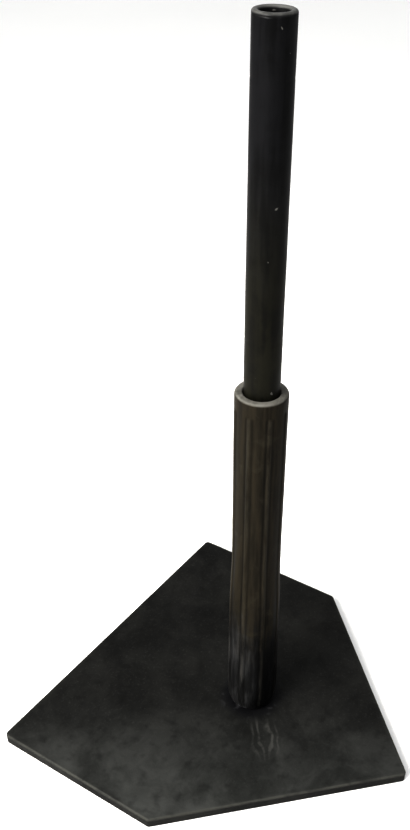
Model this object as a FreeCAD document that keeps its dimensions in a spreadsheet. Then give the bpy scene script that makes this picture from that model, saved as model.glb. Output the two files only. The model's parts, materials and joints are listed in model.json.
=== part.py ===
"""Batting tee: a rubber home plate carrying a two-tube telescoping rubber stem.

Frame: millimetres, +Z up, origin on the floor under the stem's axis, which is the middle of
the plate's outline.  +Y runs to the plate's straight front edge, -Y to its point.

How it is held together: a carriage bolt comes up through a steel disc in the plate's underside,
through the rubber and a long wooden plug, and a washer, a lock washer and a nut clamp it in a
pocket in the plug's top.  The ribbed stem is a rubber tube forced down over the plug, which swells
it, and snapped in round the plug's waist.  The plain top tube slides in the stem by hand and
stays where it is put by friction.
"""
import FreeCAD
import Part
import Sketcher
import os
import re

SIZES = {
    # Home plate: the regulation outline, in a thick moulded slab.
    "plate_width": 431.8,
    "plate_depth": 431.8,
    "plate_side": 215.9,
    "plate_thickness": 14.0,
    "plate_corner": 5.5,
    "plate_arris": 2.2,
    "plate_foot_arris": 1.0,
    # Steel disc in the underside, with a square hole for the bolt's neck.
    "disc_radius": 45.0,
    "disc_thickness": 3.0,
    "disc_clearance": 1.5,
    "disc_arris": 0.5,
    # Carriage bolt, 3/8 in thick, with its cup head clear of the floor.
    "bolt_radius": 4.76,
    "bolt_past_nut": 3.1,
    "bolt_end_chamfer": 0.9,
    "bolt_clearance": 0.6,
    "head_overhang": 5.9,
    "head_height": 4.8,
    "head_rim": 1.0,
    "head_floor_gap": 0.7,
    "neck_excess": 0.14,
    "neck_clearance": 0.2,
    # Turned wooden plug: short waist, flare to the belly, long taper to the shoulder, rounded top.
    "plug_height": 196.0,
    "waist_height": 5.0,
    "belly_stretch": 4.8,
    "belly_height": 24.0,
    "shoulder_stretch": 2.8,
    "shoulder_drop": 12.0,
    "plug_top_taper": 0.8,
    "plug_top_round": 4.0,
    "nut_pocket_radius": 15.0,
    "nut_pocket_depth": 17.2,
    # Washers and nut on the bolt's upper end.
    "washer_radius": 13.0,
    "washer_thickness": 2.1,
    "lock_washer_radius": 8.6,
    "lock_washer_thickness": 2.4,
    "lock_washer_slit": 1.6,
    "nut_flats": 14.3,
    "nut_thickness": 8.3,
    "nut_corner_cut": 1.0,
    "thread_gap": 0.05,
    # Top tube: a plain rubber tube, 18 in long.
    "tube_radius": 17.9,
    "tube_wall": 5.6,
    "tube_length": 457.2,
    "tube_lip": 2.2,
    "tube_foot_chamfer": 1.0,
    "tube_overlap": 125.0,
    # Stem: the wider tube that the top tube slides in.
    "slide_clearance": 0.3,
    "stem_wall": 8.55,
    "stem_height": 446.0,
    "stem_relax": 45.0,
    "stem_outer_lip": 3.0,
    "stem_inner_lip": 2.3,
    "stem_foot_bevel": 4.0,
    "stem_foot_arris": 1.5,
    "grip_gap": 0.05,
    # Low ribs down the stem, from the waist to a plain collar at the top.
    "rib_count": 8,
    "rib_width": 3.4,
    "rib_height": 0.9,
    "rib_root": 1.0,
    "rib_ramp": 4.0,
    "rib_collar": 15.0,
    "rib_turn": 6.0,
}

doc = FreeCAD.newDocument("batting_tee")
sheet = doc.addObject("Spreadsheet::Sheet", "Sizes")
for row, (alias, number) in enumerate(SIZES.items(), start=1):
    sheet.set(f"A{row}", alias)
    sheet.set(f"B{row}", str(number))
    sheet.setAlias(f"B{row}", alias)
doc.recompute()


# ------------------------------------------------------------------------------ sizes by name
def sized(text):
    """The expression with each size's name pointing at its cell."""
    return re.sub(r"[a-z_]+", lambda word: ("Sizes." if word[0] in SIZES else "") + word[0], text)


def value(text):
    """The number that an expression in named sizes comes to."""
    return float(sheet.evalExpression(sized(text)))


def bind(thing, prop, text):
    """Ties a property to an expression in named sizes."""
    thing.setExpression(prop, sized(text))


# Sizes that follow from the named ones, as expressions.
DISC_FOOT = "(head_height + head_floor_gap)"
RECESS_DEPTH = f"({DISC_FOOT} + disc_thickness)"
RECESS_RADIUS = "disc_radius + disc_clearance"
HOLE_RADIUS = "bolt_radius + bolt_clearance"
HEAD_RADIUS = "(bolt_radius + head_overhang)"
NECK_HALF = "(bolt_radius + neck_excess)"
POCKET_FLOOR = "(plug_height - nut_pocket_depth)"
WASHER_FOOT = f"(plate_thickness + {POCKET_FLOOR})"
LOCK_FOOT = f"({WASHER_FOOT} + washer_thickness)"
NUT_FOOT = f"({LOCK_FOOT} + lock_washer_thickness)"
BOLT_LENGTH = f"({NUT_FOOT} + nut_thickness + bolt_past_nut - {DISC_FOOT})"
PLUG_SHOULDER = "(plug_height - shoulder_drop)"
STEM_BORE = "(tube_radius + slide_clearance)"
STRETCH_END = f"({PLUG_SHOULDER} + stem_relax)"
# The stem's bore and the plug in it share these (radius, height) places above the plate.
WAIST_FOOT = (STEM_BORE, "0")
WAIST_TOP = (STEM_BORE, "waist_height")
BELLY = (f"({STEM_BORE} + belly_stretch)", "belly_height")
SHOULDER = (f"({STEM_BORE} + shoulder_stretch)", PLUG_SHOULDER)
# Rubber keeps its volume, so the stem's ring of wall has the same area wherever it is stretched.
WALL_AREA = f"stem_wall * (2 * {STEM_BORE} + stem_wall)"


# ------------------------------------------------------------------------------ sketch and body
def body_named(label, height="0"):
    """A body whose name and label are its piece's name, standing at a height above the floor."""
    body = doc.addObject("PartDesign::Body", label)
    body.Label = label
    bind(body, "Placement.Base.z", height)
    return body


def origin_part(body, role):
    """One of the body's own origin planes or axes."""
    return next(part for part in body.Origin.OriginFeatures if part.Role == role)


def sketch_on(body, name, role, height="0"):
    """An empty sketch on one of the body's origin planes, raised along that plane's normal."""
    sketch = body.newObject("Sketcher::SketchObject", name)
    sketch.AttachmentSupport = [(origin_part(body, role), "")]
    sketch.MapMode = "FlatFace"
    bind(sketch, "AttachmentOffset.Base.z", height)
    return sketch


def draw_outline(sketch, corners):
    """A closed outline of straight edges, each corner tied to its pair of expressions."""
    first = sketch.GeometryCount
    spots = [FreeCAD.Vector(value(across), value(up), 0) for across, up in corners]
    for spot, following in zip(spots, spots[1:] + spots[:1]):
        sketch.addGeometry(Part.LineSegment(spot, following), False)
    for index, (across, up) in enumerate(corners):
        edge = first + index
        following = first + (index + 1) % len(corners)
        sketch.addConstraint(Sketcher.Constraint("Coincident", edge, 2, following, 1))
        for kind, text in (("DistanceX", across), ("DistanceY", up)):
            tie = Sketcher.Constraint(kind, -1, 1, edge, 1, value(text))
            bind(sketch, f"Constraints[{sketch.addConstraint(tie)}]", text)


def draw_circle(sketch, radius):
    """A circle about the sketch's origin."""
    circle = Part.Circle(FreeCAD.Vector(0, 0, 0), FreeCAD.Vector(0, 0, 1), value(radius))
    edge = sketch.addGeometry(circle, False)
    sketch.addConstraint(Sketcher.Constraint("Coincident", edge, 3, -1, 1))
    tie = sketch.addConstraint(Sketcher.Constraint("Radius", edge, value(radius)))
    bind(sketch, f"Constraints[{tie}]", radius)


def pad(body, sketch, length):
    """The sketch grown upwards by a length."""
    feature = body.newObject("PartDesign::Pad", sketch.Name + "_pad")
    feature.Profile = sketch
    bind(feature, "Length", length)
    doc.recompute()
    return feature


def pocket_up(body, sketch, length):
    """The sketch cut out of the body above it, for a length."""
    before = body.Shape.Volume
    feature = body.newObject("PartDesign::Pocket", sketch.Name + "_pocket")
    feature.Profile = sketch
    feature.Reversed = True
    bind(feature, "Length", length)
    doc.recompute()
    if not body.Shape.Volume < before:
        raise RuntimeError(f"{sketch.Name} cuts nothing")
    return feature


def turn(body, name, corners, angle="360"):
    """An outline of (radius, height) corners turned about the body's own upright axis."""
    sketch = sketch_on(body, name, "XZ_Plane")
    draw_outline(sketch, corners)
    feature = body.newObject("PartDesign::Revolution", name + "_turned")
    feature.Profile = sketch
    feature.ReferenceAxis = (sketch, ["V_Axis"])
    feature.Midplane = True
    bind(feature, "Angle", angle)
    doc.recompute()
    return feature


def groove(body, name, corners):
    """An outline of (radius, height) corners turned about the upright axis and cut away."""
    before = body.Shape.Volume
    sketch = sketch_on(body, name, "XZ_Plane")
    draw_outline(sketch, corners)
    feature = body.newObject("PartDesign::Groove", name + "_groove")
    feature.Profile = sketch
    feature.ReferenceAxis = (sketch, ["V_Axis"])
    bind(feature, "Angle", "360")
    doc.recompute()
    if not body.Shape.Volume < before:
        raise RuntimeError(f"{name} cuts nothing")
    return feature


# ------------------------------------------------------------------------------ edges to dress
def ring_edges(feature, places):
    """Names of the feature's circular edges at (radius, height) places."""
    wanted = [(value(radius), value(height)) for radius, height in places]
    names = []
    for index, edge in enumerate(feature.Shape.Edges, start=1):
        if not isinstance(edge.Curve, Part.Circle):
            continue
        found = (edge.Curve.Radius, edge.Curve.Center.z)
        if any(abs(found[0] - r) < 1e-4 and abs(found[1] - z) < 1e-4 for r, z in wanted):
            names.append(f"Edge{index}")
    if len(names) < len(wanted):
        raise RuntimeError(f"{feature.Name} has {len(names)} of {len(wanted)} edges to dress")
    return names


def level_edges(feature, height):
    """Names of the feature's edges that lie flat at a height."""
    level = value(height)
    names = []
    for index, edge in enumerate(feature.Shape.Edges, start=1):
        box = edge.BoundBox
        if abs(box.ZMin - level) < 1e-4 and abs(box.ZMax - level) < 1e-4:
            names.append(f"Edge{index}")
    return names


def upright_edges(feature):
    """Names of the feature's straight edges that stand upright."""
    names = []
    for index, edge in enumerate(feature.Shape.Edges, start=1):
        box = edge.BoundBox
        if box.XLength < 1e-4 and box.YLength < 1e-4 and box.ZLength > 1:
            names.append(f"Edge{index}")
    return names


def dress(body, kind, feature, edges, size):
    """A fillet or chamfer on the named edges of a feature."""
    dressed = body.newObject(f"PartDesign::{kind}", f"{feature.Name}_{kind.lower()}")
    dressed.Base = (feature, edges)
    bind(dressed, "Radius" if kind == "Fillet" else "Size", size)
    doc.recompute()
    return dressed


# ------------------------------------------------------------------------------ the plate
def base_plate():
    """The pentagon slab, with a round recess underneath for the disc and a hole for the bolt."""
    body = body_named("base_plate")
    outline = sketch_on(body, "plate_outline", "XY_Plane")
    draw_outline(outline, [
        ("0", "-plate_depth / 2"),
        ("plate_width / 2", "plate_depth / 2 - plate_side"),
        ("plate_width / 2", "plate_depth / 2"),
        ("-plate_width / 2", "plate_depth / 2"),
        ("-plate_width / 2", "plate_depth / 2 - plate_side"),
    ])
    slab = pad(body, outline, "plate_thickness")
    slab = dress(body, "Fillet", slab, upright_edges(slab), "plate_corner")
    slab = dress(body, "Fillet", slab, level_edges(slab, "plate_thickness"), "plate_arris")
    dress(body, "Fillet", slab, level_edges(slab, "0"), "plate_foot_arris")
    recess = sketch_on(body, "plate_recess", "XY_Plane")
    draw_circle(recess, RECESS_RADIUS)
    pocket_up(body, recess, RECESS_DEPTH)
    hole = sketch_on(body, "plate_hole", "XY_Plane")
    draw_circle(hole, HOLE_RADIUS)
    pocket_up(body, hole, "plate_thickness")
    return body


def backing_disc():
    """The steel disc that spreads the bolt's pull over the rubber."""
    body = body_named("backing_disc", DISC_FOOT)
    outline = sketch_on(body, "disc_outline", "XY_Plane")
    draw_circle(outline, "disc_radius")
    disc = pad(body, outline, "disc_thickness")
    rims = ring_edges(disc, [("disc_radius", "0"), ("disc_radius", "disc_thickness")])
    dress(body, "Fillet", disc, rims, "disc_arris")
    square = sketch_on(body, "disc_square_hole", "XY_Plane")
    draw_outline(square, square_corners(f"({NECK_HALF} + neck_clearance)"))
    pocket_up(body, square, "disc_thickness")
    return body


def square_corners(half):
    """The corners of a square about the axis, half its side away."""
    return [(half, half), (f"-{half}", half), (f"-{half}", f"-{half}"), (half, f"-{half}")]


# ------------------------------------------------------------------------------ the anchor
def anchor_bolt():
    """A carriage bolt: a low cup head, a square neck as deep as the disc, and a round shank."""
    body = body_named("anchor_bolt", "head_floor_gap")
    tip = f"(head_height + {BOLT_LENGTH})"
    turn(body, "bolt_outline", [
        ("0", "0"),
        (f"{HEAD_RADIUS} * 0.45", "head_height * 0.1"),
        (f"{HEAD_RADIUS} * 0.8", "(head_height - head_rim) * 0.45"),
        (HEAD_RADIUS, "head_height - head_rim"),
        (HEAD_RADIUS, "head_height"),
        ("bolt_radius", "head_height"),
        ("bolt_radius", f"{tip} - bolt_end_chamfer"),
        ("bolt_radius - bolt_end_chamfer", tip),
        ("0", tip),
    ])
    neck = sketch_on(body, "bolt_neck", "XY_Plane", "head_height")
    draw_outline(neck, square_corners(NECK_HALF))
    pad(body, neck, "disc_thickness")
    return body


def anchor_plug():
    """The turned wooden plug that the stem is forced over."""
    body = body_named("anchor_plug", "plate_thickness")
    sides = [(f"({radius} - grip_gap)", height)
             for radius, height in (WAIST_FOOT, WAIST_TOP, BELLY, SHOULDER)]
    top = (f"({SHOULDER[0]} - grip_gap - plug_top_taper)", "plug_height")
    plug = turn(body, "plug_outline", [
        (HOLE_RADIUS, "0"), *sides, top,
        ("nut_pocket_radius", "plug_height"),
        ("nut_pocket_radius", POCKET_FLOOR),
        (HOLE_RADIUS, POCKET_FLOOR),
    ])
    dress(body, "Fillet", plug, ring_edges(plug, [top]), "plug_top_round")
    return body


def plug_washer():
    """The flat washer on the floor of the plug's nut pocket."""
    body = body_named("plug_washer", WASHER_FOOT)
    turn(body, "washer_outline", ring_corners(HOLE_RADIUS, "washer_radius", "washer_thickness"))
    return body


def lock_washer():
    """The split spring washer under the nut, pressed flat, its slit facing -X."""
    body = body_named("lock_washer", LOCK_FOOT)
    corners = ring_corners("bolt_radius + bolt_clearance / 2", "lock_washer_radius",
                           "lock_washer_thickness")
    slit_angle = "lock_washer_slit / lock_washer_radius * 180 / pi"
    turn(body, "lock_outline", corners, f"360 - {slit_angle}")
    return body


def ring_corners(inner, outer, thickness):
    """The (radius, height) corners of a flat ring's section."""
    return [(inner, "0"), (outer, "0"), (outer, thickness), (inner, thickness)]


def anchor_nut():
    """The hexagon nut, with the corners of both faces turned off."""
    body = body_named("anchor_nut", NUT_FOOT)
    outline = sketch_on(body, "nut_outline", "XY_Plane")
    corner = "nut_flats / sqrt(3)"
    half = "nut_flats / 2"
    draw_outline(outline, [
        (corner, "0"), (f"{corner} / 2", half), (f"-{corner} / 2", half),
        (f"-{corner}", "0"), (f"-{corner} / 2", f"-{half}"), (f"{corner} / 2", f"-{half}"),
    ])
    draw_circle(outline, "bolt_radius + thread_gap")
    pad(body, outline, "nut_thickness")
    for name, face, inward in (("nut_low", "0", "+"), ("nut_high", "nut_thickness", "-")):
        groove(body, name, [
            (half, face),
            (f"{corner} + nut_corner_cut", face),
            (f"{corner} + nut_corner_cut", f"{face} {inward} nut_corner_cut"),
        ])
    return body


# ------------------------------------------------------------------------------ the two tubes
def stem_tube():
    """The ribbed tube, swollen where it is stretched over the plug."""
    body = body_named("stem_tube", "plate_thickness")
    bind(body, "Placement.Rotation.Angle", "rib_turn")
    bores = [WAIST_FOOT, WAIST_TOP, BELLY, SHOULDER,
             (STEM_BORE, STRETCH_END), (STEM_BORE, "stem_height")]
    outers = [(f"sqrt(({bore})^2 + {WALL_AREA})", height) for bore, height in bores]
    outers[0] = (f"{outers[0][0]} - stem_foot_bevel", "0")
    tube = turn(body, "stem_outline", bores + outers[::-1])
    tube = dress(body, "Fillet", tube, ring_edges(tube, outers[-1:]), "stem_outer_lip")
    tube = dress(body, "Fillet", tube, ring_edges(tube, bores[-1:]), "stem_inner_lip")
    dress(body, "Fillet", tube, ring_edges(tube, outers[:1]), "stem_foot_arris")
    add_ribs(body, outers)
    return body


def add_ribs(body, outers):
    """Ribs that rise from nothing at the waist to their full height at the belly, follow the
    tube's outside, and end in a short ramp under a plain collar."""
    (waist, low), *middle = outers[1:-1]
    top = outers[-1][0]
    high = "stem_height - rib_collar"
    crest = [(waist, low)]
    crest += [(f"{radius} + rib_height", height) for radius, height in middle]
    crest += [(f"{top} + rib_height", f"{high} - rib_ramp"), (top, high)]
    root = [(f"{radius} - rib_root", height) for radius, height in outers[1:-1]]
    root += [(f"{top} - rib_root", high)]
    rib = turn(body, "rib_outline", crest + root[::-1], f"rib_width / {top} * 180 / pi")
    around = body.newObject("PartDesign::PolarPattern", "ribs")
    around.Originals = [rib]
    around.Axis = (origin_part(body, "Z_Axis"), [""])
    around.Angle = 360
    bind(around, "Occurrences", "rib_count")
    body.Tip = around
    doc.recompute()


def top_tube():
    """The plain tube that the ball sits on, with softly rounded lips."""
    body = body_named("top_tube", "plate_thickness + stem_height - tube_overlap")
    bore = "tube_radius - tube_wall"
    tube = turn(body, "tube_outline", ring_corners(bore, "tube_radius", "tube_length"))
    lips = ring_edges(tube, [(bore, "tube_length"), ("tube_radius", "tube_length")])
    tube = dress(body, "Fillet", tube, lips, "tube_lip")
    feet = ring_edges(tube, [(bore, "0"), ("tube_radius", "0")])
    dress(body, "Chamfer", tube, feet, "tube_foot_chamfer")
    return body


# ------------------------------------------------------------------------------ build and write
pieces = [base_plate(), backing_disc(), anchor_bolt(), anchor_plug(), plug_washer(),
          lock_washer(), anchor_nut(), stem_tube(), top_tube()]
doc.recompute()

faults = [f"{item.Name}: {item.State}" for item in doc.Objects
          if "Invalid" in item.State or "Error" in item.State]
for piece in pieces:
    if piece.Shape.isNull() or not piece.Shape.isValid() or len(piece.Shape.Solids) != 1:
        faults.append(f"{piece.Label}: not one valid solid")
if faults:
    raise RuntimeError("; ".join(faults))

os.makedirs("parts", exist_ok=True)
for piece in pieces:
    piece.Shape.exportStep(f"parts/{piece.Label}.step")
    box = piece.Shape.BoundBox
    print(f"{piece.Label}: {piece.Shape.Volume / 1000:.1f} cm3, "
          f"z {box.ZMin:.2f} to {box.ZMax:.2f}, x {box.XMin:.2f} to {box.XMax:.2f}")
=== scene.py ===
"""Looks of the batting tee: a scuffed rubber home plate, a ribbed rubber stem swollen over its
wooden plug, and a plain rubber tube that slides in the stem.

Everything is in metres in the design's own frame: origin on the floor under the stem, +Z up,
+Y to the plate's straight front edge.  The rubber pieces are surfaces worked out with numpy from
the frame's boxes; the steel and wooden pieces of the anchor keep their design shapes.
"""
import json

import bpy
import numpy as np
from mathutils import Matrix, Vector


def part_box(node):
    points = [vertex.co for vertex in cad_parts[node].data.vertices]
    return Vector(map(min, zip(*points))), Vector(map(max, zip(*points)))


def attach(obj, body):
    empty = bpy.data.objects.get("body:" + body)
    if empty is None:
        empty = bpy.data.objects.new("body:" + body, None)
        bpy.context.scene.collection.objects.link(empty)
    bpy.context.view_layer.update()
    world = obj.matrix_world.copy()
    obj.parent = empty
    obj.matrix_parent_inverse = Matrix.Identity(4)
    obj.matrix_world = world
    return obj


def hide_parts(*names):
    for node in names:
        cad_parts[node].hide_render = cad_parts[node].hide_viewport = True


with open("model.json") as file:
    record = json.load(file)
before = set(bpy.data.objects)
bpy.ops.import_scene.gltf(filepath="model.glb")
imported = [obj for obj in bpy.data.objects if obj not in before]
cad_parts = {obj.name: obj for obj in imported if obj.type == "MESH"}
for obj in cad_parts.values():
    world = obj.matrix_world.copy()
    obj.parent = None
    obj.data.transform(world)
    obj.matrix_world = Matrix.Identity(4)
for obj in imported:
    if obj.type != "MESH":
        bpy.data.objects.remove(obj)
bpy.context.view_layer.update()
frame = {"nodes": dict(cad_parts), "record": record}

MM = 0.001

# ------------------------------------------------------------------------------ sizes
PLATE_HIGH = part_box("base_plate")[1]
PLATE_HALF = PLATE_HIGH.x
PLATE_TOP = PLATE_HIGH.z
PLATE_CORNER = 5.5 * MM
PLATE_ARRIS = 2.2 * MM
PLATE_FOOT_ARRIS = 1.0 * MM
# How far in from the outline the plate's rings stop following it.
SHELF_INSET = 5.4 * MM

DISC_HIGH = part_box("backing_disc")[1]
RECESS_RADIUS = DISC_HIGH.x + 1.5 * MM
RECESS_TOP = DISC_HIGH.z
BOLT_HOLE_RADIUS = 5.36 * MM

TUBE_LOW, TUBE_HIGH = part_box("top_tube")
TUBE_RADIUS = TUBE_HIGH.x
MOUNTS = {mount["name"]: mount for mount in frame["record"]["mounts"]}
TUBE_BORE = MOUNTS["tube_mouth"]["dims"]["r_mm"] * MM
TUBE_LIP = 2.2 * MM
TUBE_FOOT_CHAMFER = 1.0 * MM
# Faint rings round the sliding tube: height and depth.
TUBE_RINGS = [(TUBE_HIGH.z - 47 * MM, 0.35 * MM), (0.518, 0.2 * MM)]
TUBE_RING_WIDTH = 0.9 * MM

STEM_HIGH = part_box("stem_tube")[1]
SLIDE_GAP = 0.3 * MM
GRIP_GAP = 0.05 * MM
STEM_WALL = 8.55 * MM
STEM_OUTER_LIP = 3.0 * MM
STEM_INNER_LIP = 2.3 * MM
STEM_FOOT_BEVEL = 4.0 * MM
FOOT_BEVEL_HEIGHT = 5.0 * MM
STEM_FOOT_ARRIS = 1.5 * MM
FOOT_ARRIS_INSET = 0.72 * MM
STEM_BORE = TUBE_RADIUS + SLIDE_GAP
# Where the bore widens over the plug: waist, belly, shoulder, and the end of the stretch.
STRETCH_HEIGHTS = PLATE_TOP + np.array([5.0, 24.0, 184.0, 229.0]) * MM
STRETCH_BORES = STEM_BORE + np.array([0.0, 4.8, 2.8, 0.0]) * MM
STRETCH_SOFTNESS = np.array([1.2, 3.5, 8.0, 8.0]) * MM

RIB_COUNT = 8
RIB_TURN = np.radians(6.0)
RIB_HALF_WIDTH = 3.1 * MM
RIB_HEIGHT = 0.9 * MM
RIB_FOOT = 8.0 * MM
RIB_COLLAR = 15.0 * MM
RIB_RAMP = 4.0 * MM

# How far from the stem's axis the painted shade round its foot reaches.
SHADE_REACH = 46 * MM
SCUFF_CENTRE = (-49 * MM, -50 * MM, PLATE_TOP)
SCUFF_TURN = np.radians(38.0)
SCUFF_REACH = (38 * MM, 24 * MM, 38 * MM)


# ------------------------------------------------------------------------------ maths for surfaces
def smooth(low, high, value):
    """A smooth step: 0 at low, 1 at high, level at both ends."""
    t = np.clip((value - low) / (high - low), 0.0, 1.0)
    return t * t * (3.0 - 2.0 * t)


def ripple(points, wavelength, seed, waves=18):
    """A gentle uneven field in about -1..1: the mean of plane sine waves in seeded directions, each
    with a wavelength within a third of the given one."""
    rng = np.random.default_rng(seed)
    ways = rng.normal(size=(waves, 3))
    ways /= np.linalg.norm(ways, axis=1)[:, None]
    pitch = wavelength * rng.uniform(0.67, 1.33, waves)
    phase = rng.uniform(0.0, 2.0 * np.pi, waves)
    angle = points @ (ways / pitch[:, None]).T * 2.0 * np.pi + phase
    return np.sin(angle).mean(axis=-1) * np.sqrt(waves) / 1.6


def arc(centre, radius, start, end, count):
    """Points (across, up) along an arc, from one angle to another in degrees, both ends in."""
    angle = np.radians(np.linspace(start, end, count))
    return np.stack([centre[0] + radius * np.cos(angle), centre[1] + radius * np.sin(angle)], -1)


def line(start, end, count):
    """Evenly spaced points from start to end, both ends left out."""
    share = (np.arange(1, count + 1) / (count + 1))[:, None]
    return np.array(start) * (1.0 - share) + np.array(end) * share


def mesh_object(name, points, closed_rows, **marks):
    """A mesh from a grid of points [row, column, xyz]: columns always join round, and rows join
    round too if closed_rows says so.  Each mark becomes a value per vertex on the mesh."""
    rows, columns = points.shape[:2]
    index = np.arange(rows * columns).reshape(rows, columns)
    if closed_rows:
        index = np.vstack([index, index[:1]])
    index = np.hstack([index, index[:, :1]])
    faces = np.stack([index[:-1, :-1], index[:-1, 1:], index[1:, 1:], index[1:, :-1]], -1)
    faces = faces.reshape(-1, 4)
    mesh = bpy.data.meshes.new(name)
    mesh.vertices.add(rows * columns)
    mesh.vertices.foreach_set("co", points.reshape(-1).astype(np.float32))
    mesh.loops.add(faces.size)
    mesh.loops.foreach_set("vertex_index", faces.reshape(-1).astype(np.int32))
    mesh.polygons.add(len(faces))
    mesh.polygons.foreach_set("loop_start", np.arange(0, faces.size, 4, dtype=np.int32))
    mesh.polygons.foreach_set("use_smooth", np.ones(len(faces), dtype=bool))
    for mark, values in marks.items():
        layer = mesh.attributes.new(mark, "FLOAT", "POINT")
        layer.data.foreach_set("value", values.reshape(-1).astype(np.float32))
    mesh.update(calc_edges=True)
    mesh.validate()
    made = bpy.data.objects.new(name, mesh)
    bpy.context.scene.collection.objects.link(made)
    return made


# ------------------------------------------------------------------------------ the plate
def plate_path(across=26, round_corner=12):
    """Points and outward normals round the plate's outline, anticlockwise from the point:
    straight sides joined by arcs of the corner radius, each side with points every few
    millimetres."""
    corners = PLATE_HALF * np.array([[0, -1], [1, 0], [1, 1], [-1, 1], [-1, 0]], float)
    before, after = np.roll(corners, 1, axis=0), np.roll(corners, -1, axis=0)
    into = corners - before
    out = after - corners
    into /= np.linalg.norm(into, axis=1)[:, None]
    out /= np.linalg.norm(out, axis=1)[:, None]
    turn = np.arccos(np.clip((into * out).sum(axis=1), -1, 1))
    reach = PLATE_CORNER * np.tan(turn / 2)
    normal_in = np.stack([into[:, 1], -into[:, 0]], -1)
    centre = corners - into * reach[:, None] - normal_in * PLATE_CORNER
    points, normals = [], []
    for k in range(len(corners)):
        first = np.arctan2(normal_in[k, 1], normal_in[k, 0])
        angle = first + np.linspace(0.0, turn[k], round_corner)
        normal = np.stack([np.cos(angle), np.sin(angle)], -1)
        points.append(centre[k] + normal * PLATE_CORNER)
        normals.append(normal)
        start = points[-1][-1]
        following = (k + 1) % len(corners)
        end = centre[following] + normal[-1] * PLATE_CORNER
        count = int(np.linalg.norm(end - start) / (PLATE_HALF / across))
        side = line(start, end, count)
        points.append(side)
        normals.append(np.repeat(normal[-1:], count, axis=0))
    return np.vstack(points), np.vstack(normals)


def plate_slab():
    """The slab as rings round the stem's axis.  From the bolt hole's underside the rings run
    across the recess, down its wall, out over the underside, up the rounded side, and in over
    the top to the bolt hole.  Near the rim a ring is the outline moved in by an inset; further
    in it is a straight blend between that outline and a circle."""
    path, normal = plate_path()
    bearing = np.arctan2(path[:, 1], path[:, 0])
    circle = np.stack([np.cos(bearing), np.sin(bearing)], -1)

    def rim(inset, height):
        return np.dstack([path[None] - normal[None] * inset[:, None, None],
                          np.broadcast_to(height[:, None, None], (len(inset), len(path), 1))])

    def ring(radius, height):
        return np.dstack([circle[None] * radius[:, None, None],
                          np.broadcast_to(height[:, None, None], (len(radius), len(path), 1))])

    def blend(outer, inner, count):
        share = (np.arange(1, count + 1) / (count + 1))[:, None, None]
        return outer[-1:] * (1 - share) + inner[:1] * share

    low = arc((PLATE_FOOT_ARRIS, PLATE_FOOT_ARRIS), PLATE_FOOT_ARRIS, 270, 180, 5)
    top = arc((PLATE_ARRIS, PLATE_TOP - PLATE_ARRIS), PLATE_ARRIS, 180, 90, 9)
    side = line(low[-1], top[0], 4)
    edge = rim(*np.vstack([low, side, top]).T)
    shelf_in = rim(np.array([SHELF_INSET]), np.array([PLATE_TOP]))
    shelf_low = rim(np.array([SHELF_INSET]), np.array([0.0]))
    recess = np.array([
        [BOLT_HOLE_RADIUS, RECESS_TOP], [RECESS_RADIUS * 0.5, RECESS_TOP],
        [RECESS_RADIUS - 1.0 * MM, RECESS_TOP],
        [RECESS_RADIUS - 0.3 * MM, RECESS_TOP - 0.3 * MM],
        [RECESS_RADIUS, RECESS_TOP - 1.0 * MM], [RECESS_RADIUS, RECESS_TOP * 0.5],
        [RECESS_RADIUS, 0.6 * MM], [RECESS_RADIUS + 0.2 * MM, 0.2 * MM],
        [RECESS_RADIUS + 0.6 * MM, 0.0],
    ])
    under = ring(*recess.T)
    foot_radius = STEM_BORE + STEM_WALL
    inner_top = ring(np.array([foot_radius + 4 * MM, foot_radius - 2 * MM, BOLT_HOLE_RADIUS]),
                     np.full(3, PLATE_TOP))
    grid = np.vstack([under, blend(under, shelf_low, 14), shelf_low, edge, shelf_in,
                      blend(shelf_in, inner_top, 52), inner_top])

    flat = grid.copy()
    flat[..., 2] = 0.0
    on_top = grid[..., 2] > PLATE_TOP - 1e-6
    from_axis = np.hypot(grid[..., 0], grid[..., 1])
    free = np.where(on_top, smooth(foot_radius, foot_radius + 20 * MM, from_axis), 0.0)
    relief = 0.22 * MM * ripple(flat, 95 * MM, 3) + 0.10 * MM * ripple(flat, 28 * MM, 4)
    grid[..., 2] += (relief - 0.25 * MM) * free * smooth(0.0, 6 * MM, rim_distance(grid))
    worn = 1.0 - smooth(0.4 * MM, 2.8 * MM, rim_distance(grid))
    worn = worn * smooth(PLATE_TOP - 4.0 * MM, PLATE_TOP - 1.4 * MM, grid[..., 2])
    upside = smooth(PLATE_TOP - 2.0 * MM, PLATE_TOP - 0.9 * MM, grid[..., 2])
    return mesh_object("plate_slab", grid, True, worn=worn, upside=upside)


def rim_distance(grid):
    """How far inside the plate's sharp outline each point lies: the least of its distances to
    the outline's five sides."""
    x, y = np.abs(grid[..., 0]), grid[..., 1]
    slant = (PLATE_HALF + y - x) / np.sqrt(2.0)
    return np.minimum(np.minimum(PLATE_HALF - x, PLATE_HALF - y), slant)


# ------------------------------------------------------------------------------ the two tubes
def around(profile, turns, offset=None):
    """A (radius, height) profile turned about +Z at the given angles, with an optional extra
    radius for each point of the grid."""
    radius = np.repeat(profile[:, :1], len(turns), axis=1)
    if offset is not None:
        radius = radius + offset
    height = np.repeat(profile[:, 1:], len(turns), axis=1)
    return np.stack([radius * np.cos(turns), radius * np.sin(turns), height], -1)


def softened(height):
    """The stretched bore's radius with its bends rounded: the sum, over the bends, of the change
    of slope there times a soft ramp, softness * ln(1 + exp(distance / softness))."""
    slopes = np.diff(STRETCH_BORES) / np.diff(STRETCH_HEIGHTS)
    change = np.diff(np.concatenate([[0.0], slopes, [0.0]]))
    reach = (height[..., None] - STRETCH_HEIGHTS) / STRETCH_SOFTNESS
    return STEM_BORE + (np.logaddexp(0.0, reach) * STRETCH_SOFTNESS * change).sum(axis=-1)


def stretched(bore):
    """The stem's outside radius over a bore: its ring of wall keeps the same area."""
    return np.sqrt(bore ** 2 + STEM_WALL * (2.0 * STEM_BORE + STEM_WALL))


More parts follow.
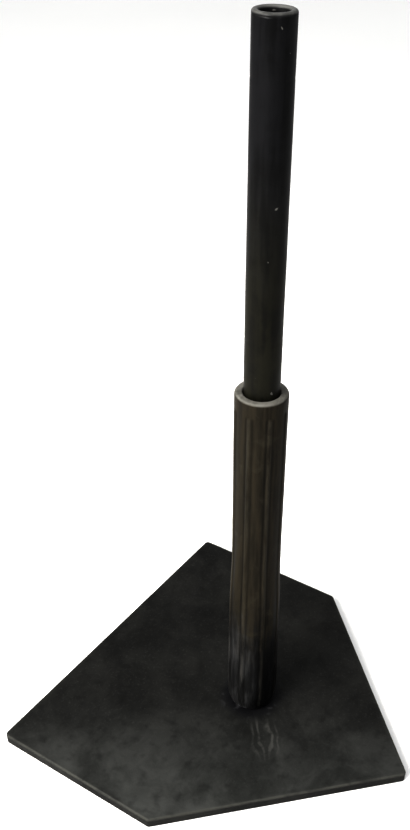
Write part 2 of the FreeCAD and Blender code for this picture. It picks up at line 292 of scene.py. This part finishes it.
def stem_sleeve():
    """The ribbed tube: a closed profile up the bevelled foot and the outside, over the rounded
    lip, down the bore and across the foot, turned about +Z.  A rib is a radius added by the arc
    length from its middle: full at the middle, falling smoothly to nothing at its half width.
    The turns crowd towards the ribs."""
    top = STEM_HIGH.z
    spread = np.arange(RIB_COUNT * 44) / (RIB_COUNT * 44) * 2.0 * np.pi
    turns = spread - 0.55 / RIB_COUNT * np.sin(RIB_COUNT * spread) + RIB_TURN

    outside = STEM_BORE + STEM_WALL
    bevel_foot = outside - STEM_FOOT_BEVEL
    bevel_angle = np.degrees(np.arctan2(STEM_FOOT_BEVEL, FOOT_BEVEL_HEIGHT))
    up = PLATE_TOP + np.concatenate([
        np.linspace(0.7 * MM, 8.0 * MM, 18)[:-1], np.linspace(8.0 * MM, 34.0 * MM, 26)[:-1],
        np.linspace(34.0 * MM, top - PLATE_TOP - 20.0 * MM, 100)[:-1],
        np.linspace(top - PLATE_TOP - 20.0 * MM, top - PLATE_TOP - STEM_OUTER_LIP, 20)[:-1],
    ])
    cut = STEM_FOOT_BEVEL * np.clip(1.0 - (up - PLATE_TOP) / FOOT_BEVEL_HEIGHT, 0.0, 1.0)
    outer = np.stack([stretched(softened(up)) - cut, up], -1)
    foot = arc((bevel_foot - FOOT_ARRIS_INSET, PLATE_TOP + STEM_FOOT_ARRIS), STEM_FOOT_ARRIS,
               270, 360 - bevel_angle, 6)
    lip_out = arc((outside - STEM_OUTER_LIP, top - STEM_OUTER_LIP), STEM_OUTER_LIP, 0, 90, 10)
    lip_in = arc((STEM_BORE + STEM_INNER_LIP, top - STEM_INNER_LIP), STEM_INNER_LIP, 90, 180, 9)
    down = np.linspace(top - STEM_INNER_LIP, PLATE_TOP, 40)[1:]
    inner = np.stack([np.interp(down, STRETCH_HEIGHTS, STRETCH_BORES), down], -1)
    inner[:, 0] += GRIP_GAP
    profile = np.vstack([foot, outer, lip_out, lip_in, inner])

    heights = profile[:, 1:]
    on_outside = np.zeros((len(profile), 1))
    on_outside[len(foot):len(foot) + len(outer)] = 1.0
    low = smooth(PLATE_TOP + RIB_FOOT, PLATE_TOP + RIB_FOOT + RIB_RAMP, heights)
    high = smooth(top - RIB_COLLAR, top - RIB_COLLAR - RIB_RAMP, heights)
    pitch = 2.0 * np.pi / RIB_COUNT
    from_rib = np.abs((turns - RIB_TURN + pitch / 2) % pitch - pitch / 2) * profile[:, :1]
    plain = around(profile, turns)
    rib = low * high * on_outside
    crest = smooth(RIB_HALF_WIDTH, RIB_HALF_WIDTH * 0.15, from_rib) * rib
    # A band along each side of every rib, where the painted shade goes.
    groove = np.exp(-((from_rib - RIB_HALF_WIDTH * 1.15) / (1.2 * MM)) ** 2) * rib
    uneven = 1.0 + 0.16 * ripple(plain, 60 * MM, 11)
    skin = 0.12 * MM * ripple(plain, 45 * MM, 12) * on_outside
    grid = around(profile, turns, crest * RIB_HEIGHT * uneven + skin)
    lip = smooth(top - 2.6 * MM, top - 0.5 * MM, grid[..., 2])
    return mesh_object("stem_sleeve", grid, True, crest=crest, groove=groove, lip=lip)


def sliding_pipe():
    """The plain tube: a closed profile with rounded lips above and small chamfers below, turned
    about +Z, with the faint rings and waviness of an extruded rubber tube."""
    foot, top = TUBE_LOW.z, TUBE_HIGH.z
    turns = np.arange(160) / 160 * 2.0 * np.pi
    chamfer = TUBE_FOOT_CHAMFER
    below = np.array([[TUBE_BORE + chamfer, foot], [TUBE_RADIUS - chamfer, foot]])
    up = np.linspace(foot + chamfer, top - TUBE_LIP, 230)
    outer = np.stack([np.full(len(up), TUBE_RADIUS), up], -1)
    lip_out = arc((TUBE_RADIUS - TUBE_LIP, top - TUBE_LIP), TUBE_LIP, 0, 90, 10)
    lip_in = arc((TUBE_BORE + TUBE_LIP, top - TUBE_LIP), TUBE_LIP, 90, 180, 10)
    down = np.linspace(top - TUBE_LIP, foot + chamfer, 60)[1:]
    inner = np.stack([np.full(len(down), TUBE_BORE), down], -1)
    profile = np.vstack([below, outer, lip_out, lip_in, inner])
    plain = around(profile, turns)
    heights = profile[:, 1:]
    on_outside = np.zeros((len(profile), 1))
    on_outside[2:2 + len(outer)] = 1.0
    shown = on_outside * smooth(STEM_HIGH.z, STEM_HIGH.z + 8 * MM, heights)
    waves = 0.10 * MM * ripple(plain, 70 * MM, 21)
    marks = sum(depth * np.exp(-((heights - place) / TUBE_RING_WIDTH) ** 2)
                for place, depth in TUBE_RINGS)
    grid = around(profile, turns, (waves - marks) * shown)
    lip = smooth(top - 2.6 * MM, top - 0.5 * MM, grid[..., 2])
    return mesh_object("sliding_pipe", grid, True, lip=lip)


# ------------------------------------------------------------------------------ materials
def linear(code):
    """An sRGB hex colour as linear RGBA."""
    srgb = np.array([int(code[i:i + 2], 16) for i in (1, 3, 5)]) / 255.0
    rgb = np.where(srgb <= 0.04045, srgb / 12.92, ((srgb + 0.055) / 1.055) ** 2.4)
    return (*rgb.tolist(), 1.0)


def node(tree, kind, out, inputs=(), **settings):
    """Adds a node with its settings; each input is given a value or linked from a socket.  The
    output socket asked for comes back."""
    made = tree.nodes.new(kind)
    for name, setting in settings.items():
        setattr(made, name, setting)
    for place, given in dict(inputs).items():
        if isinstance(given, bpy.types.NodeSocket):
            tree.links.new(given, made.inputs[place])
        else:
            made.inputs[place].default_value = given
    return made.outputs[out]


def surface(name, **sockets):
    """A new material's tree, its principled shader with the given plain values set (underscores
    for spaces), and the object coordinates."""
    material = bpy.data.materials.new(name)
    material.use_nodes = True
    tree = material.node_tree
    shader = tree.nodes["Principled BSDF"]
    for socket, value in sockets.items():
        shader.inputs[socket.replace("_", " ")].default_value = value
    return material, tree, shader, node(tree, "ShaderNodeTexCoord", "Object")


def moulded_black_rubber():
    """The plate: carbon-black rubber from a plain mould, dulled by dust, with a painted sheen
    that lightens it towards the corner nearest -X and -Y.  It shows charcoal blotches a few
    centimetres wide, darker stains, fine grit, pale wavy scuffs in front of the stem, painted
    shade round the stem's foot and a lighter worn arris."""
    material, tree, shader, place = surface(
        "moulded_black_rubber", IOR=1.52, Specular_IOR_Level=0.14)
    cloud = node(tree, "ShaderNodeTexNoise", "Fac", {
        "Vector": place, "Scale": 1 / (80 * MM), "Detail": 6.0, "Roughness": 0.6,
        "Distortion": 0.4})
    patch = node(tree, "ShaderNodeTexNoise", "Fac", {
        "Vector": place, "Scale": 1 / (20 * MM), "Detail": 4.0, "Roughness": 0.62,
        "Distortion": 0.6})
    grit = node(tree, "ShaderNodeTexNoise", "Fac", {
        "Vector": place, "Scale": 1 / (3.2 * MM), "Detail": 3.0, "Roughness": 0.65})
    clouded = node(tree, "ShaderNodeMapRange", 0, {
        0: cloud, 1: 0.34, 2: 0.66}, interpolation_type="SMOOTHSTEP")
    patched = node(tree, "ShaderNodeMapRange", 0, {
        0: patch, 1: 0.33, 2: 0.70}, interpolation_type="SMOOTHSTEP")
    dust = node(tree, "ShaderNodeMath", 0, {
        0: patched, 1: 0.38, 2: clouded}, operation="MULTIPLY_ADD")
    dust = node(tree, "ShaderNodeMath", 0, {0: dust, 1: 1.38}, operation="DIVIDE")
    clean = node(tree, "ShaderNodeMix", 2, {
        0: dust, 6: linear("#242423"), 7: linear("#363634")}, data_type="RGBA")
    sheened = node(tree, "ShaderNodeMix", 2, {
        0: dust, 6: linear("#393a38"), 7: linear("#565755")}, data_type="RGBA")

    # Painted sheen: the plate is painted lighter towards the corner nearest -X and -Y, fading out
    # across the plate.
    sheen_reach = node(tree, "ShaderNodeVectorMath", "Value", {
        0: place, 1: (-0.85, -0.53, 0.0)}, operation="DOT_PRODUCT")
    painted_sheen = node(tree, "ShaderNodeMapRange", 0, {
        0: sheen_reach, 1: -12 * MM, 2: 160 * MM}, interpolation_type="SMOOTHSTEP")
    upside = node(tree, "ShaderNodeAttribute", "Fac", attribute_name="upside")
    painted_sheen = node(tree, "ShaderNodeMath", 0, {0: painted_sheen, 1: upside}, operation="MULTIPLY")
    colour = node(tree, "ShaderNodeMix", 2, {0: painted_sheen, 6: clean, 7: sheened}, data_type="RGBA")
    gritty = node(tree, "ShaderNodeMapRange", 0, {
        0: grit, 1: 0.52, 2: 0.78, 3: 0.0, 4: 0.3}, interpolation_type="SMOOTHSTEP")
    colour = node(tree, "ShaderNodeMix", 2, {
        0: gritty, 6: colour, 7: linear("#51514f")}, data_type="RGBA")

    # Soft dark stains a centimetre or two wide, and crumbs of dried mud close round the stem.
    blot = node(tree, "ShaderNodeTexNoise", "Fac", {
        "Vector": place, "Scale": 1 / (17 * MM), "Detail": 2.0, "Roughness": 0.55})
    stained = node(tree, "ShaderNodeMapRange", 0, {
        0: blot, 1: 0.50, 2: 0.78, 3: 0.0, 4: 0.38}, interpolation_type="SMOOTHSTEP")
    colour = node(tree, "ShaderNodeMix", 2, {
        0: stained, 6: colour, 7: linear("#1c1c1b")}, data_type="RGBA")
    crumb = node(tree, "ShaderNodeMapRange", 0, {
        0: blot, 1: 0.46, 2: 0.32, 3: 0.0, 4: 0.9}, interpolation_type="SMOOTHSTEP")

    # Painted shade round the stem's foot, gone 46 mm from its axis.
    at_foot = node(tree, "ShaderNodeMapping", 0, {
        "Vector": place, "Location": (0.0, 0.0, PLATE_TOP),
        "Scale": (SHADE_REACH, SHADE_REACH, SHADE_REACH)},
        vector_type="TEXTURE")
    near = node(tree, "ShaderNodeTexGradient", "Fac", {"Vector": at_foot},
                gradient_type="SPHERICAL")
    painted_shade = node(tree, "ShaderNodeMapRange", 0, {
        0: near, 1: 0.0, 2: 0.42, 3: 0.0, 4: 0.75}, interpolation_type="SMOOTHSTEP")
    colour = node(tree, "ShaderNodeMix", 2, {
        0: painted_shade, 6: colour, 7: linear("#1d1d21")}, data_type="RGBA")
    crumb = node(tree, "ShaderNodeMath", 0, {0: crumb, 1: painted_shade}, operation="MULTIPLY")
    colour = node(tree, "ShaderNodeMix", 2, {
        0: crumb, 6: colour, 7: linear("#545456")}, data_type="RGBA")

    # Scuffs: wavy strands 9 mm apart in an oval 76 by 48 mm, running from the near corner's
    # side towards the stem.
    oval = node(tree, "ShaderNodeMapping", 0, {
        "Vector": place, "Location": SCUFF_CENTRE,
        "Rotation": (0.0, 0.0, SCUFF_TURN), "Scale": SCUFF_REACH},
        vector_type="TEXTURE")
    strands = node(tree, "ShaderNodeTexWave", "Fac", {
        "Vector": oval, "Scale": 0.85, "Distortion": 9.0, "Detail": 1.0, "Detail Scale": 1.2},
        wave_type="BANDS", bands_direction="Y")
    strands = node(tree, "ShaderNodeMapRange", 0, {
        0: strands, 1: 0.35, 2: 1.0}, interpolation_type="SMOOTHSTEP")
    inside = node(tree, "ShaderNodeTexGradient", "Fac", {"Vector": oval},
                  gradient_type="SPHERICAL")
    inside = node(tree, "ShaderNodeMapRange", 0, {
        0: inside, 1: 0.0, 2: 0.5, 3: 0.0, 4: 0.5}, interpolation_type="SMOOTHSTEP")
    broken = node(tree, "ShaderNodeMapRange", 0, {
        0: patch, 1: 0.36, 2: 0.60, 3: 0.25, 4: 1.0}, interpolation_type="SMOOTHSTEP")
    scuff = node(tree, "ShaderNodeMath", 0, {0: strands, 1: inside}, operation="MULTIPLY")
    scuff = node(tree, "ShaderNodeMath", 0, {0: scuff, 1: broken}, operation="MULTIPLY")
    scuff = node(tree, "ShaderNodeMath", 0, {0: scuff, 1: upside}, operation="MULTIPLY")
    colour = node(tree, "ShaderNodeMix", 2, {
        0: scuff, 6: colour, 7: linear("#676764")}, data_type="RGBA")

    # The arris is rubbed grey-brown, most of all where the patches are pale.
    worn = node(tree, "ShaderNodeAttribute", "Fac", attribute_name="worn")
    rubbed = node(tree, "ShaderNodeMapRange", 0, {
        0: patch, 1: 0.3, 2: 0.6, 3: 0.35, 4: 1.0}, interpolation_type="SMOOTHSTEP")
    rubbed = node(tree, "ShaderNodeMath", 0, {0: rubbed, 1: worn}, operation="MULTIPLY")
    colour = node(tree, "ShaderNodeMix", 2, {
        0: rubbed, 6: colour, 7: linear("#555551")}, data_type="RGBA")
    tree.links.new(colour, shader.inputs["Base Color"])

    rough = node(tree, "ShaderNodeMapRange", 0, {
        0: patch, 1: 0.3, 2: 0.7, 3: 0.46, 4: 0.62}, interpolation_type="SMOOTHSTEP")
    tree.links.new(rough, shader.inputs["Roughness"])
    pebble = node(tree, "ShaderNodeTexNoise", "Fac", {
        "Vector": place, "Scale": 1 / (1.8 * MM), "Detail": 2.0})
    height = node(tree, "ShaderNodeMath", 0, {0: pebble, 1: 0.5, 2: patch},
                  operation="MULTIPLY_ADD")
    bump = node(tree, "ShaderNodeBump", "Normal", {
        "Height": height, "Strength": 0.45, "Distance": 0.6 * MM})
    tree.links.new(bump, shader.inputs["Normal"])
    return material


def bloomed_rubber():
    """The stem: black rubber whose antioxidant wax has bloomed brown over the upper two thirds,
    streaked lengthways by hands and by the mould.  The foot stays black with rub marks; it and
    the brown above are painted lighter on the lit -X side, with a painted highlight on the bevel
    there.  Painted shade lies along both sides of each rib, the rib crests carry a painted
    highlight, and the lip is scuffed pale."""
    material, tree, shader, place = surface(
        "bloomed_rubber", IOR=1.52, Specular_IOR_Level=0.10)
    lengthways = node(tree, "ShaderNodeMapping", 0, {"Vector": place, "Scale": (1.0, 1.0, 0.10)})
    height = node(tree, "ShaderNodeSeparateXYZ", "Z", {"Vector": place})
    streak = node(tree, "ShaderNodeTexNoise", "Fac", {
        "Vector": lengthways, "Scale": 1 / (6 * MM), "Detail": 4.0, "Roughness": 0.6})
    patch = node(tree, "ShaderNodeTexNoise", "Fac", {
        "Vector": place, "Scale": 1 / (26 * MM), "Detail": 5.0, "Roughness": 0.62,
        "Distortion": 0.5})
    rub = node(tree, "ShaderNodeMapping", 0, {"Vector": place, "Scale": (1.0, 1.0, 0.15)})
    rub = node(tree, "ShaderNodeTexNoise", "Fac", {
        "Vector": rub, "Scale": 1 / (7 * MM), "Detail": 4.0, "Roughness": 0.6,
        "Distortion": 0.3})
    streaked = node(tree, "ShaderNodeMapRange", 0, {
        0: streak, 1: 0.30, 2: 0.70}, interpolation_type="SMOOTHSTEP")
    rubbed = node(tree, "ShaderNodeMapRange", 0, {
        0: rub, 1: 0.36, 2: 0.70}, interpolation_type="SMOOTHSTEP")

    # Painted light: the black is painted lighter grey on the lit -X side, and the brown a little
    # lighter there; the rub-mark streaks show in both tones.
    lit_side = node(tree, "ShaderNodeVectorMath", "Value", {
        0: place, 1: (-0.92, 0.38, 0.0)}, operation="DOT_PRODUCT")
    lit_side = node(tree, "ShaderNodeMapRange", 0, {
        0: lit_side, 1: 10 * MM, 2: 22 * MM}, interpolation_type="SMOOTHSTEP")
    clean = node(tree, "ShaderNodeMix", 2, {
        0: rubbed, 6: linear("#0f0f10"), 7: linear("#1e1e1f")}, data_type="RGBA")
    lit_black = node(tree, "ShaderNodeMix", 2, {
        0: rubbed, 6: linear("#2a2a2a"), 7: linear("#4c4c4c")}, data_type="RGBA")
    black = node(tree, "ShaderNodeMix", 2, {0: lit_side, 6: clean, 7: lit_black}, data_type="RGBA")
    brown = node(tree, "ShaderNodeMix", 2, {
        0: streaked, 6: linear("#25221c"), 7: linear("#38332a")}, data_type="RGBA")
    lit_brown_share = node(tree, "ShaderNodeMath", 0, {0: lit_side, 1: 0.14}, operation="MULTIPLY")
    brown = node(tree, "ShaderNodeMix", 2, {
        0: lit_brown_share, 6: brown, 7: linear("#4a463b")}, data_type="RGBA")
    mottled = node(tree, "ShaderNodeMapRange", 0, {
        0: patch, 1: 0.52, 2: 0.72, 3: 0.0, 4: 0.4}, interpolation_type="SMOOTHSTEP")
    brown = node(tree, "ShaderNodeMix", 2, {
        0: mottled, 6: brown, 7: linear("#48443a")}, data_type="RGBA")
    level = node(tree, "ShaderNodeMath", 0, {0: patch, 1: 0.13, 2: height},
                 operation="MULTIPLY_ADD")
    level = node(tree, "ShaderNodeMath", 0, {0: streak, 1: 0.10, 2: level},
                 operation="MULTIPLY_ADD")
    bloom = node(tree, "ShaderNodeMapRange", 0, {
        0: level, 1: 0.220, 2: 0.325}, interpolation_type="SMOOTHSTEP")
    colour = node(tree, "ShaderNodeMix", 2, {0: bloom, 6: black, 7: brown}, data_type="RGBA")

    # Painted highlight: the bevel round the foot is painted pale on the same lit side, in broken
    # lengths.
    bevel_highlight = node(tree, "ShaderNodeMapRange", 0, {
        0: height, 1: PLATE_TOP + 7.0 * MM, 2: PLATE_TOP + 4.0 * MM},
        interpolation_type="SMOOTHSTEP")
    bevel_highlight = node(tree, "ShaderNodeMath", 0, {0: bevel_highlight, 1: rubbed}, operation="MULTIPLY")
    bevel_highlight = node(tree, "ShaderNodeMath", 0, {0: bevel_highlight, 1: lit_side}, operation="MULTIPLY")
    colour = node(tree, "ShaderNodeMix", 2, {
        0: bevel_highlight, 6: colour, 7: linear("#6c6c6d")}, data_type="RGBA")

    # Painted shade along both sides of each rib.
    groove = node(tree, "ShaderNodeAttribute", "Fac", attribute_name="groove")
    painted_shade = node(tree, "ShaderNodeMath", 0, {0: groove, 1: 0.5}, operation="MULTIPLY")
    colour = node(tree, "ShaderNodeMix", 2, {
        0: painted_shade, 6: colour, 7: linear("#141310")}, data_type="RGBA")
    # Painted highlight: the rib crests are painted paler, in broken lengths.
    crest = node(tree, "ShaderNodeAttribute", "Fac", attribute_name="crest")
    crest_highlight = node(tree, "ShaderNodeMath", 0, {0: crest, 1: rubbed}, operation="MULTIPLY")
    crest_highlight = node(tree, "ShaderNodeMath", 0, {0: crest_highlight, 1: 0.28}, operation="MULTIPLY")
    colour = node(tree, "ShaderNodeMix", 2, {
        0: crest_highlight, 6: colour, 7: linear("#5d5a51")}, data_type="RGBA")
    lip = node(tree, "ShaderNodeAttribute", "Fac", attribute_name="lip")
    scuffed = node(tree, "ShaderNodeMapRange", 0, {
        0: patch, 1: 0.35, 2: 0.6, 3: 0.5, 4: 1.0}, interpolation_type="SMOOTHSTEP")
    scuffed = node(tree, "ShaderNodeMath", 0, {0: scuffed, 1: lip}, operation="MULTIPLY")
    colour = node(tree, "ShaderNodeMix", 2, {
        0: scuffed, 6: colour, 7: linear("#81807b")}, data_type="RGBA")
    tree.links.new(colour, shader.inputs["Base Color"])

    rough = node(tree, "ShaderNodeMapRange", 0, {
        0: streak, 1: 0.3, 2: 0.7, 3: 0.40, 4: 0.56}, interpolation_type="SMOOTHSTEP")
    tree.links.new(rough, shader.inputs["Roughness"])
    skin = node(tree, "ShaderNodeTexNoise", "Fac", {"Vector": place, "Scale": 1 / (2 * MM)})
    relief = node(tree, "ShaderNodeMath", 0, {0: skin, 1: 0.3, 2: streak},
                  operation="MULTIPLY_ADD")
    bump = node(tree, "ShaderNodeBump", "Normal", {
        "Height": relief, "Strength": 0.5, "Distance": 0.5 * MM})
    tree.links.new(bump, shader.inputs["Normal"])
    return material


def extruded_black_rubber():
    """The sliding tube: smooth extruded rubber, cool black where hands and bats keep it clean
    and olive brown lower down, with a faint lengthways draw, a scuffed lip and a few tiny pale
    nicks."""
    material, tree, shader, place = surface(
        "extruded_black_rubber", IOR=1.52, Specular_IOR_Level=0.17)
    height = node(tree, "ShaderNodeSeparateXYZ", "Z", {"Vector": place})
    patch = node(tree, "ShaderNodeTexNoise", "Fac", {
        "Vector": place, "Scale": 1 / (32 * MM), "Detail": 5.0, "Roughness": 0.6,
        "Distortion": 0.4})
    lengthways = node(tree, "ShaderNodeMapping", 0, {"Vector": place, "Scale": (1.0, 1.0, 0.08)})
    draw = node(tree, "ShaderNodeTexNoise", "Fac", {
        "Vector": lengthways, "Scale": 1 / (7 * MM), "Detail": 4.0, "Roughness": 0.6})
    tone = node(tree, "ShaderNodeMath", 0, {0: patch, 1: draw}, operation="ADD")
    tone = node(tree, "ShaderNodeMapRange", 0, {
        0: tone, 1: 0.80, 2: 1.20}, interpolation_type="SMOOTHSTEP")
    clean = node(tree, "ShaderNodeMix", 2, {
        0: tone, 6: linear("#121213"), 7: linear("#1f1f21")}, data_type="RGBA")
    olive = node(tree, "ShaderNodeMix", 2, {
        0: tone, 6: linear("#171611"), 7: linear("#27261d")}, data_type="RGBA")
    level = node(tree, "ShaderNodeMath", 0, {0: patch, 1: 0.12, 2: height},
                 operation="MULTIPLY_ADD")
    upper = node(tree, "ShaderNodeMapRange", 0, {
        0: level, 1: 0.60, 2: 0.76}, interpolation_type="SMOOTHSTEP")
    colour = node(tree, "ShaderNodeMix", 2, {0: upper, 6: olive, 7: clean}, data_type="RGBA")
    lip = node(tree, "ShaderNodeAttribute", "Fac", attribute_name="lip")
    scuffed = node(tree, "ShaderNodeMapRange", 0, {
        0: patch, 1: 0.35, 2: 0.6, 3: 0.45, 4: 0.9}, interpolation_type="SMOOTHSTEP")
    scuffed = node(tree, "ShaderNodeMath", 0, {0: scuffed, 1: lip}, operation="MULTIPLY")
    colour = node(tree, "ShaderNodeMix", 2, {
        0: scuffed, 6: colour, 7: linear("#747472")}, data_type="RGBA")
    nick = node(tree, "ShaderNodeTexNoise", "Fac", {
        "Vector": place, "Scale": 1 / (6 * MM), "Detail": 1.0, "Roughness": 0.4})
    nick = node(tree, "ShaderNodeMapRange", 0, {
        0: nick, 1: 0.775, 2: 0.805}, interpolation_type="SMOOTHSTEP")
    colour = node(tree, "ShaderNodeMix", 2, {
        0: nick, 6: colour, 7: linear("#6c6b67")}, data_type="RGBA")
    tree.links.new(colour, shader.inputs["Base Color"])

    rough = node(tree, "ShaderNodeMapRange", 0, {
        0: tone, 1: 0.0, 2: 1.0, 3: 0.36, 4: 0.48}, interpolation_type="SMOOTHSTEP")
    tree.links.new(rough, shader.inputs["Roughness"])
    skin = node(tree, "ShaderNodeTexNoise", "Fac", {"Vector": place, "Scale": 1 / (2.5 * MM)})
    relief = node(tree, "ShaderNodeMath", 0, {0: skin, 1: 0.25, 2: patch},
                  operation="MULTIPLY_ADD")
    bump = node(tree, "ShaderNodeBump", "Normal", {
        "Height": relief, "Strength": 0.35, "Distance": 0.5 * MM})
    tree.links.new(bump, shader.inputs["Normal"])
    return material


def zinc_plated_steel():
    """Disc, bolt, nut and washers: bright zinc plate over rolled steel, a little cloudy where
    the passivation has dulled, so highlights are broad and uneven."""
    material, tree, shader, place = surface("zinc_plated_steel", Metallic=1.0)
    cloud = node(tree, "ShaderNodeTexNoise", "Fac", {
        "Vector": place, "Scale": 1 / (6 * MM), "Detail": 4.0, "Roughness": 0.6})
    clouded = node(tree, "ShaderNodeMapRange", 0, {
        0: cloud, 1: 0.3, 2: 0.7}, interpolation_type="SMOOTHSTEP")
    colour = node(tree, "ShaderNodeMix", 2, {
        0: clouded, 6: linear("#a3a7ab"), 7: linear("#c8caca")}, data_type="RGBA")
    tree.links.new(colour, shader.inputs["Base Color"])
    rough = node(tree, "ShaderNodeMapRange", 0, {
        0: cloud, 1: 0.3, 2: 0.7, 3: 0.28, 4: 0.42}, interpolation_type="SMOOTHSTEP")
    tree.links.new(rough, shader.inputs["Roughness"])
    fine = node(tree, "ShaderNodeTexNoise", "Fac", {
        "Vector": place, "Scale": 1 / (0.6 * MM), "Detail": 3.0})
    bump = node(tree, "ShaderNodeBump", "Normal", {
        "Height": fine, "Strength": 0.2, "Distance": 0.1 * MM})
    tree.links.new(bump, shader.inputs["Normal"])
    return material


def turned_beech():
    """The plug: pale beech turned on a lathe, with long grain up its height, short dark flecks
    and the fine rings of the turning tool."""
    material, tree, shader, place = surface("turned_beech", IOR=1.5, Specular_IOR_Level=0.4)
    along = node(tree, "ShaderNodeMapping", 0, {"Vector": place, "Scale": (1.0, 1.0, 0.06)})
    grain = node(tree, "ShaderNodeTexNoise", "Fac", {
        "Vector": along, "Scale": 1 / (3.5 * MM), "Detail": 5.0, "Roughness": 0.6,
        "Distortion": 0.5})
    fleck = node(tree, "ShaderNodeTexNoise", "Fac", {
        "Vector": along, "Scale": 1 / (1.2 * MM), "Detail": 2.0})
    grained = node(tree, "ShaderNodeMapRange", 0, {
        0: grain, 1: 0.3, 2: 0.7}, interpolation_type="SMOOTHSTEP")
    colour = node(tree, "ShaderNodeMix", 2, {
        0: grained, 6: linear("#b98a5a"), 7: linear("#d9b384")}, data_type="RGBA")
    flecked = node(tree, "ShaderNodeMapRange", 0, {
        0: fleck, 1: 0.60, 2: 0.72, 3: 0.0, 4: 0.5}, interpolation_type="SMOOTHSTEP")
    colour = node(tree, "ShaderNodeMix", 2, {
        0: flecked, 6: colour, 7: linear("#8f6238")}, data_type="RGBA")
    tree.links.new(colour, shader.inputs["Base Color"])
    rough = node(tree, "ShaderNodeMapRange", 0, {
        0: grain, 1: 0.3, 2: 0.7, 3: 0.50, 4: 0.65}, interpolation_type="SMOOTHSTEP")
    tree.links.new(rough, shader.inputs["Roughness"])
    rings = node(tree, "ShaderNodeTexWave", "Fac", {
        "Vector": place, "Scale": 0.314 / (1.5 * MM)}, bands_direction="Z")
    relief = node(tree, "ShaderNodeMath", 0, {0: rings, 1: 0.5, 2: grain},
                  operation="MULTIPLY_ADD")
    bump = node(tree, "ShaderNodeBump", "Normal", {
        "Height": relief, "Strength": 0.3, "Distance": 0.3 * MM})
    tree.links.new(bump, shader.inputs["Normal"])
    return material


def dress(piece, material):
    """The piece's only material."""
    piece.data.materials.clear()
    piece.data.materials.append(material)


# ------------------------------------------------------------------------------ the object
RUBBER_PIECES = [
    (plate_slab, moulded_black_rubber, "base_plate", "base", "plate_rubber"),
    (stem_sleeve, bloomed_rubber, "stem_tube", "base", "stem_rubber"),
    (sliding_pipe, extruded_black_rubber, "top_tube", "sliding_tube", "tube_rubber"),
]
for make, finish, stands_for, body, slot in RUBBER_PIECES:
    piece = make()
    dress(piece, finish())
    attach(piece, body)
    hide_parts(stands_for)

steel = zinc_plated_steel()
for name in ("backing_disc", "anchor_bolt", "plug_washer", "lock_washer", "anchor_nut"):
    dress(frame["nodes"][name], steel)
dress(frame["nodes"]["anchor_plug"], turned_beech())


# ------------------------------------------------------------------------------ the studio
def studio_floor():
    """A wide pale disc just under the plate, with a few faint cloudy patches."""
    bpy.ops.mesh.primitive_circle_add(vertices=96, radius=14.0, fill_type="NGON")
    floor = bpy.context.object
    floor.name = "floor"
    floor.location.z = -0.2 * MM
    material, tree, shader, place = surface("pale_floor", Roughness=0.9)
    cloud = node(tree, "ShaderNodeTexNoise", "Fac", {"Vector": place, "Scale": 1 / (900 * MM)})
    colour = node(tree, "ShaderNodeMix", 2, {
        0: cloud, 6: linear("#f8f8f7"), 7: linear("#fcfcfb")}, data_type="RGBA")
    tree.links.new(colour, shader.inputs["Base Color"])
    dress(floor, material)


def softbox(name, place, aim, size, power, tint="#ffffff"):
    """A square area light at a place, facing a point."""
    lamp = bpy.data.lights.new(name, "AREA")
    lamp.shape = "SQUARE"
    lamp.size = size
    lamp.energy = power
    lamp.color = linear(tint)[:3]
    made = bpy.data.objects.new(name, lamp)
    made.location = place
    facing = Vector(aim) - made.location
    made.rotation_euler = facing.to_track_quat("-Z", "Y").to_euler()
    bpy.context.scene.collection.objects.link(made)


def studio_light():
    """Soft light: a ceiling-wide softbox, two from the left, and a surround that is pale up to
    about fifteen degrees and dim above.  The display gamma prints the rubber's blacks deep."""
    scene = bpy.context.scene
    scene.view_settings.view_transform = "Standard"
    scene.view_settings.gamma = 0.6
    world = bpy.data.worlds.new("studio")
    scene.world = world
    world.use_nodes = True
    tree = world.node_tree
    surround = tree.nodes["Background"]
    surround.inputs["Color"].default_value = linear("#fbfcff")
    upward = node(tree, "ShaderNodeTexCoord", "Generated")
    upward = node(tree, "ShaderNodeSeparateXYZ", "Z", {"Vector": upward})
    strength = node(tree, "ShaderNodeMapRange", 0, {
        0: upward, 1: 0.26, 2: 0.45, 3: 0.95, 4: 0.05}, interpolation_type="SMOOTHSTEP")
    tree.links.new(strength, surround.inputs["Strength"])
    softbox("ceiling", (0.0, 0.0, 20.0), (0.0, 0.0, 0.0), 40.0, 7300.0)
    softbox("key", (-1.9, 0.9, 2.2), (0.0, 0.0, 0.35), 1.0, 64.0, "#fffaf3")
    softbox("fill", (-1.9, 0.3, 1.5), (0.0, 0.0, 0.35), 0.8, 48.0)


def camera():
    """The camera, built from its place, the point it looks at and its roll."""
    eye = Vector((-0.6754, -0.4028, 0.9404))
    aim = Vector((0.0, 0.0141, 0.300))
    roll = np.radians(1.417)
    back = (eye - aim).normalized()
    level = Vector((0, 0, 1)).cross(back).normalized()
    upward = back.cross(level)
    right = level * np.cos(roll) + upward * np.sin(roll)
    over = upward * np.cos(roll) - level * np.sin(roll)
    lens = bpy.data.cameras.new("camera")
    lens.sensor_width = 36.0
    lens.lens = 40.97
    lens.shift_x = -0.0498
    lens.shift_y = 0.1200
    made = bpy.data.objects.new("camera", lens)
    made.matrix_world = Matrix((
        (right.x, over.x, back.x, eye.x), (right.y, over.y, back.y, eye.y),
        (right.z, over.z, back.z, eye.z), (0, 0, 0, 1)))
    bpy.context.scene.collection.objects.link(made)
    bpy.context.scene.camera = made


studio_floor()
studio_light()
camera()
